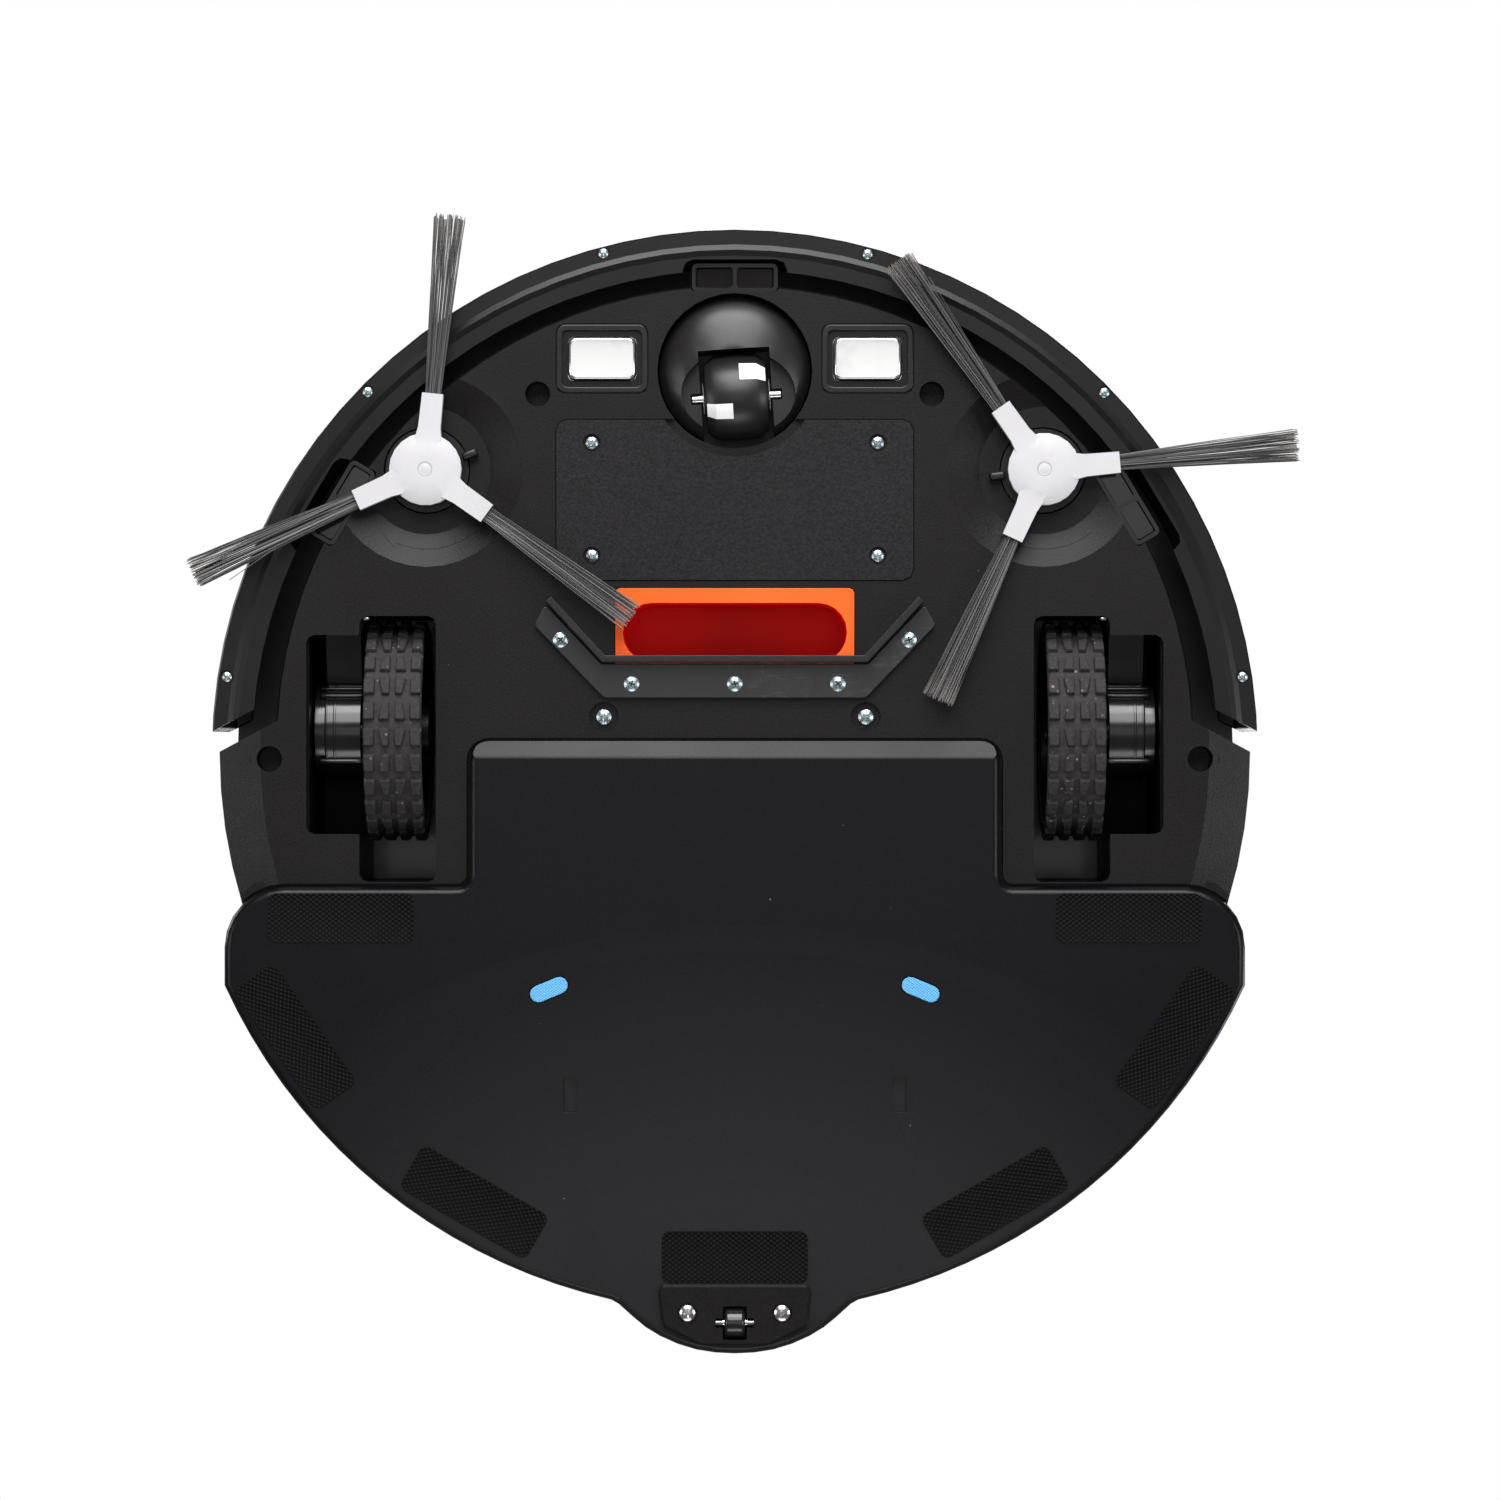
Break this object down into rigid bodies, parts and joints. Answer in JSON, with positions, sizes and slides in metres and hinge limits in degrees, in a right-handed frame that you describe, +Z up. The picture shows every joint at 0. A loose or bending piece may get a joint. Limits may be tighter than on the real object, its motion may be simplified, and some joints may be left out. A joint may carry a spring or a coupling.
{
  "type": "robot vacuum",
  "caption": "Low round robot vacuum with sprung drive wheels, swivelling caster, side brushes, suction inlet, sliding bumper, slide-out dust box and rear mop module.",
  "frame": {"origin": "floor level under the middle of the footprint, brush bristles and tail included", "axes": "+Z up; the front with the bumper and caster faces -Y, the mop module faces +Y, and +X is to the left when looking at the robot from its front"},
  "size_m": [0.3697, 0.3789, 0.097],
  "materials": {
    "shell": "fine-grained black-brown moulded plastic",
    "gloss": "polished black plastic",
    "scraper": "semi-gloss black plastic, lightly scuffed",
    "rubber": "soft black rubber",
    "tyre": "matt dark grey rubber",
    "steel": "bright steel",
    "chrome": "plated contact",
    "white": "cool white satin plastic",
    "bristle": "grey nylon bristles with pale tips",
    "orange": "orange moulded plastic",
    "mop": "satin blue-black plastic",
    "wick": "blue felt",
    "lens": "dark infrared-clear plastic",
    "smoke": "smoked plastic",
    "board": "green circuit board",
    "battery": "blue wrapped cells",
    "filter": "white pleated filter paper"
  },
  "bodies": {
    "chassis": {"bottom_cover": "shell", "top_cover": "shell", "battery_cover": "shell", "battery_pack": "battery", "battery_cover_screw_1": "steel", "battery_cover_screw_2": "steel", "battery_cover_screw_3": "steel", "battery_cover_screw_4": "steel", "base_screw_left": "steel", "base_screw_right": "steel", "main_board": "board", "suction_fan": "smoke", "suction_inlet": "orange", "scraper_plate": "scraper", "scraper_lip": "rubber", "charge_contact_left": "chrome", "charge_contact_right": "chrome", "cliff_sensor_front": "lens", "cliff_sensor_left": "lens", "cliff_sensor_right": "lens", "cliff_lens_front": "lens", "cliff_lens_left": "lens", "cliff_lens_right": "lens", "brush_motor_left": "gloss", "brush_motor_right": "gloss", "drive_housing_left": "shell", "drive_housing_right": "shell", "lidar_turret": "shell", "suspension_spring_left": "steel", "suspension_spring_right": "steel"},
    "bumper": {"bumper_shell": "shell", "bumper_rim": "shell"},
    "suspension_left": {"suspension_arm_left": "gloss"},
    "suspension_right": {"suspension_arm_right": "gloss"},
    "wheel_left": {"wheel_hub_left": "shell", "tyre_left": "tyre"},
    "wheel_right": {"wheel_hub_right": "shell", "tyre_right": "tyre"},
    "caster": {"caster_fork": "shell", "caster_axle": "steel"},
    "caster_roller": {"caster_wheel": "gloss"},
    "brush_left": {"brush_hub_left": "white", "bristles_left": "bristle"},
    "brush_right": {"brush_hub_right": "white", "bristles_right": "bristle"},
    "mop_module": {"mop_plate": "mop", "water_tank": "smoke", "wick_left": "wick", "wick_right": "wick", "tail_cover": "mop", "tail_screw_left": "steel", "tail_screw_right": "steel", "tail_pin": "steel"},
    "tail_wheel": {"tail_roller": "gloss"},
    "mop_release": {"mop_release_button": "gloss"},
    "dust_bin": {"dust_box": "smoke", "dust_filter": "filter"},
    "lidar": {"lidar_rotor": "gloss"},
    "power": {"power_button": "gloss"}
  },
  "joints": [
    {"name": "bumper_press", "type": "slide", "parent": "chassis", "child": "bumper", "axis": [0, 1, 0], "range_m": [0, 0.004], "stiffness_N_per_m": 400, "springref_m": -0.003},
    {"name": "suspension_left", "type": "hinge", "parent": "chassis", "child": "suspension_left", "pos_m": [-0.1346, -0.05791, 0.026], "axis": [1, 0, 0], "range_deg": [-30, 2.5], "stiffness_Nm_per_rad": 0.3, "springref_deg": -85.94, "deforming": ["suspension_spring_left"]},
    {"name": "wheel_spin_left", "type": "hinge", "parent": "suspension_left", "child": "wheel_left", "pos_m": [-0.1172, -0.01771, 0.037], "axis": [1, 0, 0], "continuous": true},
    {"name": "brush_spin_left", "type": "hinge", "parent": "chassis", "child": "brush_left", "pos_m": [-0.1063, -0.10451, 0.005], "axis": [0, 0, 1], "continuous": true, "deforming": ["bristles_left"]},
    {"name": "suspension_right", "type": "hinge", "parent": "chassis", "child": "suspension_right", "pos_m": [0.1274, -0.05791, 0.026], "axis": [1, 0, 0], "range_deg": [-30, 2.5], "stiffness_Nm_per_rad": 0.3, "springref_deg": -85.94, "deforming": ["suspension_spring_right"]},
    {"name": "wheel_spin_right", "type": "hinge", "parent": "suspension_right", "child": "wheel_right", "pos_m": [0.11, -0.01771, 0.037], "axis": [1, 0, 0], "continuous": true},
    {"name": "brush_spin_right", "type": "hinge", "parent": "chassis", "child": "brush_right", "pos_m": [0.0991, -0.10451, 0.005], "axis": [0, 0, 1], "continuous": true, "deforming": ["bristles_right"]},
    {"name": "caster_swivel", "type": "hinge", "parent": "chassis", "child": "caster", "pos_m": [-0.0036, -0.13761, 0.02], "axis": [0, 0, 1], "continuous": true},
    {"name": "caster_roll", "type": "hinge", "parent": "caster", "child": "caster_roller", "pos_m": [-0.00304, -0.12913, 0.0146], "axis": [0.9978, -0.0663, 0], "continuous": true},
    {"name": "mop_slide", "type": "slide", "parent": "chassis", "child": "mop_module", "axis": [0, 1, 0], "range_m": [0, 0.2]},
    {"name": "tail_roll", "type": "hinge", "parent": "mop_module", "child": "tail_wheel", "pos_m": [-0.0036, 0.17869, 0.005], "axis": [1, 0, 0], "continuous": true},
    {"name": "mop_release_press", "type": "slide", "parent": "mop_module", "child": "mop_release", "axis": [0, -1, 0], "range_m": [0, 0.0018], "stiffness_N_per_m": 600, "springref_m": -0.002},
    {"name": "dust_box_slide", "type": "slide", "parent": "chassis", "child": "dust_bin", "axis": [0, 1, 0], "range_m": [0, 0.2]},
    {"name": "lidar_spin", "type": "hinge", "parent": "chassis", "child": "lidar", "pos_m": [-0.0036, 0.01959, 0.085], "axis": [0, 0, 1], "continuous": true},
    {"name": "power_press", "type": "slide", "parent": "chassis", "child": "power", "axis": [0, 0, -1], "range_m": [0, 0.0012], "stiffness_N_per_m": 600, "springref_m": -0.002}
  ]
}
